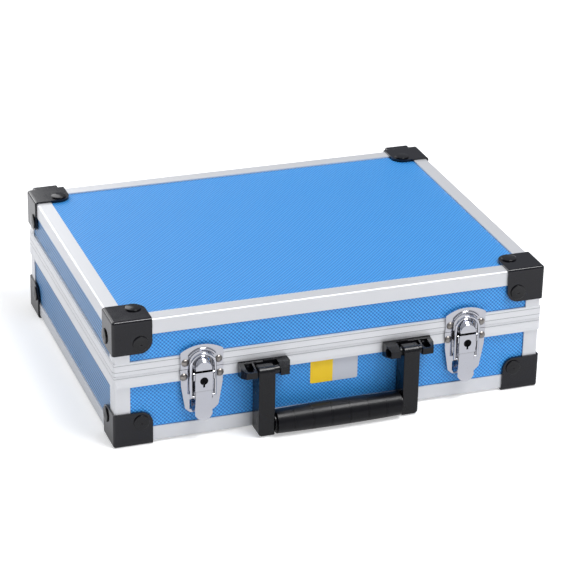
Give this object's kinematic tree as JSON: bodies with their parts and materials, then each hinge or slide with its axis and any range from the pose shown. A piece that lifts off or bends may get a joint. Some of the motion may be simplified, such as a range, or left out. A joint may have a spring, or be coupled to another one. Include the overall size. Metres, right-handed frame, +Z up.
{
  "type": "hard tool case",
  "caption": "Flat hard case with textured blue panels, aluminium edging, dark corner guards, two lever latches with key locks and a folding carrying handle.",
  "frame": {"origin": "on the ground in the middle of the closed case's outline, under the corner guards", "axes": "+X along the long side, from the left latch to the right latch seen from the front; -Y out of the front with the latches and handle; +Y to the hinges; +Z up"},
  "size_m": [0.348, 0.291, 0.1055],
  "materials": {
    "panel": "satin, pressed with a fine diamond pattern",
    "edging": "satin anodised",
    "guards": "dark satin",
    "rivets": "dark painted",
    "hardware": "polished",
    "fasteners": "bright",
    "plug": "dull",
    "handle": "moulded, satin gloss",
    "grip": "moulded, satin gloss",
    "lining": "dark, fine nap"
  },
  "bodies": {
    "base": {"base_floor": "panel", "base_front_wall": "panel", "base_back_wall": "panel", "base_left_wall": "panel", "base_right_wall": "panel", "base_front_edge": "edging", "base_back_edge": "edging", "base_left_edge": "edging", "base_right_edge": "edging", "base_corner_posts": "edging", "base_rim": "edging", "base_corner_front_left": "guards", "base_corner_front_right": "guards", "base_corner_back_left": "guards", "base_corner_back_right": "guards", "base_black_rivets": "rivets", "base_lining": "lining", "base_hinge_leaf_left": "hardware", "base_hinge_leaf_right": "hardware", "hinge_pins": "fasteners", "base_small_rivets": "fasteners", "latch_plate_left": "hardware", "latch_plate_right": "hardware", "latch_pins": "fasteners", "handle_bracket_left": "handle", "handle_bracket_right": "handle", "handle_pins": "fasteners"},
    "lid": {"lid_top": "panel", "lid_front_wall": "panel", "lid_back_wall": "panel", "lid_left_wall": "panel", "lid_right_wall": "panel", "lid_front_edge": "edging", "lid_back_edge": "edging", "lid_left_edge": "edging", "lid_right_edge": "edging", "lid_corner_posts": "edging", "lid_rim": "edging", "lid_corner_front_left": "guards", "lid_corner_front_right": "guards", "lid_corner_back_left": "guards", "lid_corner_back_right": "guards", "lid_black_rivets": "rivets", "lid_lining": "lining", "lid_hinge_leaf_left": "hardware", "lid_hinge_leaf_right": "hardware", "lid_small_rivets": "fasteners", "catch_plate_left": "hardware", "catch_plate_right": "hardware"},
    "lever_left": {"latch_lever_left": "hardware", "lock_housing_left": "hardware"},
    "bail_left": {"latch_bail_left": "hardware"},
    "plug_left": {"key_plug_left": "plug"},
    "lever_right": {"latch_lever_right": "hardware", "lock_housing_right": "hardware"},
    "bail_right": {"latch_bail_right": "hardware"},
    "plug_right": {"key_plug_right": "plug"},
    "handle": {"handle_arm_left": "handle", "handle_arm_right": "handle", "handle_grip": "grip"}
  },
  "joints": [
    {"name": "lid_hinge", "type": "hinge", "parent": "base", "child": "lid", "pos_m": [0, 0.14183, 0.0595], "axis": [-1, 0, 0], "range_deg": [0, 100]},
    {"name": "handle_swing", "type": "hinge", "parent": "base", "child": "handle", "pos_m": [0, -0.13348, 0.0531], "axis": [-1, 0, 0], "range_deg": [0, 95]},
    {"name": "latch_lever_left_swing", "type": "hinge", "parent": "base", "child": "lever_left", "pos_m": [-0.1044, -0.12807, 0.05455], "axis": [-1, 0, 0], "range_deg": [0, 110]},
    {"name": "latch_bail_left_swing", "type": "hinge", "parent": "lever_left", "child": "bail_left", "pos_m": [-0.1044, -0.12798, 0.03675], "axis": [-1, 0, 0], "range_deg": [-110, 0]},
    {"name": "key_turn_left", "type": "hinge", "parent": "lever_left", "child": "plug_left", "pos_m": [-0.1044, -0.12948, 0.04995], "axis": [0, 1, 0], "range_deg": [0, 90]},
    {"name": "latch_lever_right_swing", "type": "hinge", "parent": "base", "child": "lever_right", "pos_m": [0.1076, -0.12807, 0.05455], "axis": [-1, 0, 0], "range_deg": [0, 110]},
    {"name": "latch_bail_right_swing", "type": "hinge", "parent": "lever_right", "child": "bail_right", "pos_m": [0.1076, -0.12798, 0.03675], "axis": [-1, 0, 0], "range_deg": [-110, 0]},
    {"name": "key_turn_right", "type": "hinge", "parent": "lever_right", "child": "plug_right", "pos_m": [0.1076, -0.12948, 0.04995], "axis": [0, 1, 0], "range_deg": [0, 90]}
  ],
  "couplings": [
    {"joint": "latch_bail_left_swing", "follows": "latch_lever_left_swing", "ratio": -1},
    {"joint": "latch_bail_right_swing", "follows": "latch_lever_right_swing", "ratio": -1}
  ]
}
